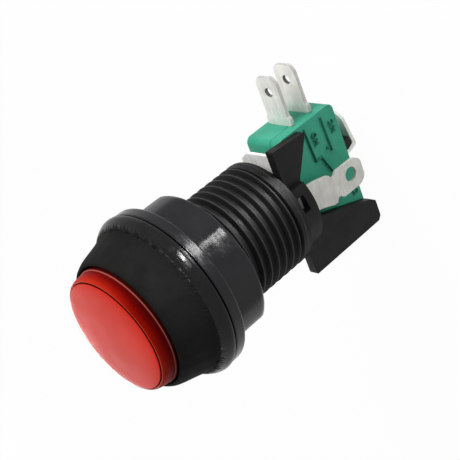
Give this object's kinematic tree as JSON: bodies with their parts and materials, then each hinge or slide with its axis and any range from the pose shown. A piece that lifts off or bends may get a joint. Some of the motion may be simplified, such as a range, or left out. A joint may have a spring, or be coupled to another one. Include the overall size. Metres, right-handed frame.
{
  "type": "illuminated pushbutton switch",
  "caption": "Round lit pushbutton with a red cap, textured bezel, threaded barrel with panel nut, and a snap switch with push-on blades held behind it.",
  "frame": {"origin": "centre of the bezel's rear seating face, on the button's axis, where the front of the panel lies", "axes": "+Z out through the cap towards the finger, +Y along the switch body towards its two end blades, +X towards the side with the holder's wings"},
  "size_m": [0.0362, 0.0435, 0.0678],
  "materials": {
    "red_lens": "glossy translucent red",
    "white_plastic": "satin white",
    "spring_steel": "drawn wire",
    "black_bezel": "finely textured black",
    "black_gloss": "smooth moulded black",
    "black_holder": "moulded matt black",
    "lamp_glass": "clear glass",
    "tinned_brass": "tinned sheet",
    "green_case": "green moulding",
    "spring_brass": "rolled strip",
    "contact_silver": "silver rivet",
    "filament_wire": "wire",
    "black_seal": "matt black"
  },
  "bodies": {
    "base": {"housing": "black_bezel", "holder": "black_holder", "return_spring": "spring_steel", "lamp_glass": "lamp_glass", "lamp_base": "white_plastic", "lamp_filament": "filament_wire", "lamp_tab_side": "tinned_brass", "lamp_tab_top": "tinned_brass", "switch_case": "green_case", "switch_cover": "green_case", "blade_no": "tinned_brass", "blade_nc": "tinned_brass", "contact_no": "contact_silver", "contact_nc": "contact_silver", "terminal_com": "tinned_brass", "com_seal": "black_seal"},
    "button": {"cap_lens": "red_lens", "diffuser": "white_plastic", "plunger": "white_plastic"},
    "nut": {"panel_nut": "black_gloss"},
    "pin": {"switch_pin": "white_plastic"},
    "rocker": {"rocker": "spring_brass", "moving_contact": "contact_silver"}
  },
  "joints": [
    {"name": "button_press", "type": "slide", "parent": "base", "child": "button", "axis": [0, 0, -1], "range_m": [0, 0.0022], "stiffness_N_per_m": 600, "springref_m": -0.002, "deforming": ["return_spring"]},
    {"name": "nut_travel", "type": "slide", "parent": "base", "child": "nut", "axis": [0, 0, -1], "range_m": [0, 0.017]},
    {"name": "pin_press", "type": "slide", "parent": "base", "child": "pin", "axis": [0, 0, -1], "range_m": [0, 0.0022]},
    {"name": "rocker_turn", "type": "hinge", "parent": "base", "child": "rocker", "pos_m": [0.00108, 0.0015, -0.04275], "axis": [1, 0, 0], "range_deg": [0, 13.5]}
  ],
  "couplings": [
    {"joint": "pin_press", "follows": "button_press", "ratio": 1},
    {"joint": "rocker_turn", "follows": "button_press", "rad_per_m": 105.26}
  ]
}
